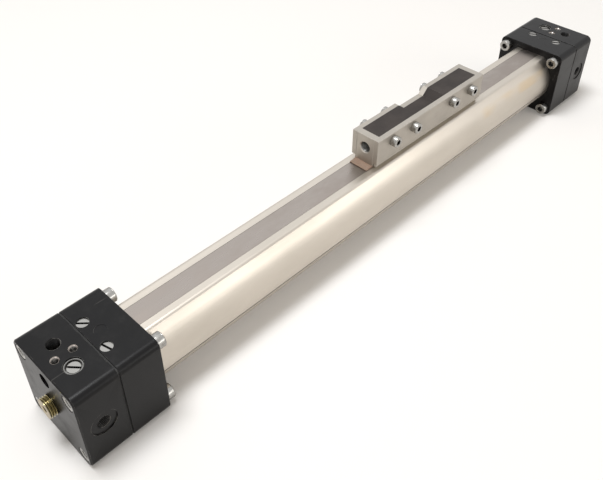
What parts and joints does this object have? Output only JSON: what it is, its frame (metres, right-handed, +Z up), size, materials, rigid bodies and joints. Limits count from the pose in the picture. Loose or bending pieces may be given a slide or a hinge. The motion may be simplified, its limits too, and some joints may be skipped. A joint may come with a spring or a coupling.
{
  "type": "rodless pneumatic cylinder",
  "caption": "Rodless air cylinder: round slotted aluminium barrel with steel sealing bands, square black end heads with ports and cushion needles, and a sliding carriage with side plates.",
  "frame": {"origin": "middle of the overall box, in the plane that the heads stand on", "axes": "+X along the barrel towards the end without the nipple, +Y across it, +Z up through the slot and the carriage"},
  "size_m": [0.5724, 0.063, 0.082],
  "materials": {
    "anodised_aluminium": "satin clear anodised, extruded",
    "milled_aluminium": "satin milled",
    "black_head": "satin black",
    "dark_core": "matt hard anodised",
    "band_steel": "rolled strip",
    "zinc_steel": "bright zinc",
    "brass": "turned",
    "black_rubber": "matt",
    "black_plastic": "matt",
    "felt": "felt"
  },
  "bodies": {
    "barrel": {"barrel_tube": "anodised_aluminium", "outer_band": "band_steel", "inner_band": "band_steel", "brass_nipple": "brass", "near_port_head": "black_head", "near_clamp_head": "black_head", "near_gasket": "black_rubber", "near_spigot": "anodised_aluminium", "near_cushion_seal": "black_rubber", "near_needle_sleeve": "zinc_steel", "near_thread_bushes": "zinc_steel", "near_head_screws": "zinc_steel", "near_band_clamp_bar": "zinc_steel", "near_band_clamp_screws": "zinc_steel", "near_retaining_ring": "zinc_steel", "far_port_head": "black_head", "far_clamp_head": "black_head", "far_gasket": "black_rubber", "far_spigot": "anodised_aluminium", "far_cushion_seal": "black_rubber", "far_needle_sleeve": "zinc_steel", "far_thread_bushes": "zinc_steel", "far_head_screws": "zinc_steel", "far_band_clamp_bar": "zinc_steel", "far_band_clamp_screws": "zinc_steel", "far_retaining_ring": "zinc_steel"},
    "near_needle": {"near_cushion_needle": "zinc_steel"},
    "far_needle": {"far_cushion_needle": "zinc_steel"},
    "carriage": {"piston_yoke": "milled_aluminium", "yoke_dowels": "zinc_steel", "carriage_core": "dark_core", "right_side_plate": "milled_aluminium", "left_side_plate": "milled_aluminium", "right_side_screws": "zinc_steel", "left_side_screws": "zinc_steel", "right_slide_shoe": "black_plastic", "left_slide_shoe": "black_plastic", "near_piston": "milled_aluminium", "near_piston_seal": "black_rubber", "near_wear_ring": "black_plastic", "near_cushion_nose": "zinc_steel", "near_end_plate": "milled_aluminium", "near_wiper": "felt", "far_piston": "milled_aluminium", "far_piston_seal": "black_rubber", "far_wear_ring": "black_plastic", "far_cushion_nose": "zinc_steel", "far_end_plate": "milled_aluminium", "far_wiper": "felt"}
  },
  "joints": [
    {"name": "carriage_slide", "type": "slide", "parent": "barrel", "child": "carriage", "axis": [1, 0, 0], "range_m": [-0.2045, 0.0955], "deforming": ["outer_band", "inner_band"]},
    {"name": "near_needle_turn", "type": "hinge", "parent": "barrel", "child": "near_needle", "pos_m": [-0.26725, -0.0105, 0.053], "axis": [0, 0, 1], "range_deg": [-270, 630]},
    {"name": "far_needle_turn", "type": "hinge", "parent": "barrel", "child": "far_needle", "pos_m": [0.27225, 0.0105, 0.053], "axis": [0, 0, 1], "range_deg": [-270, 630]}
  ]
}
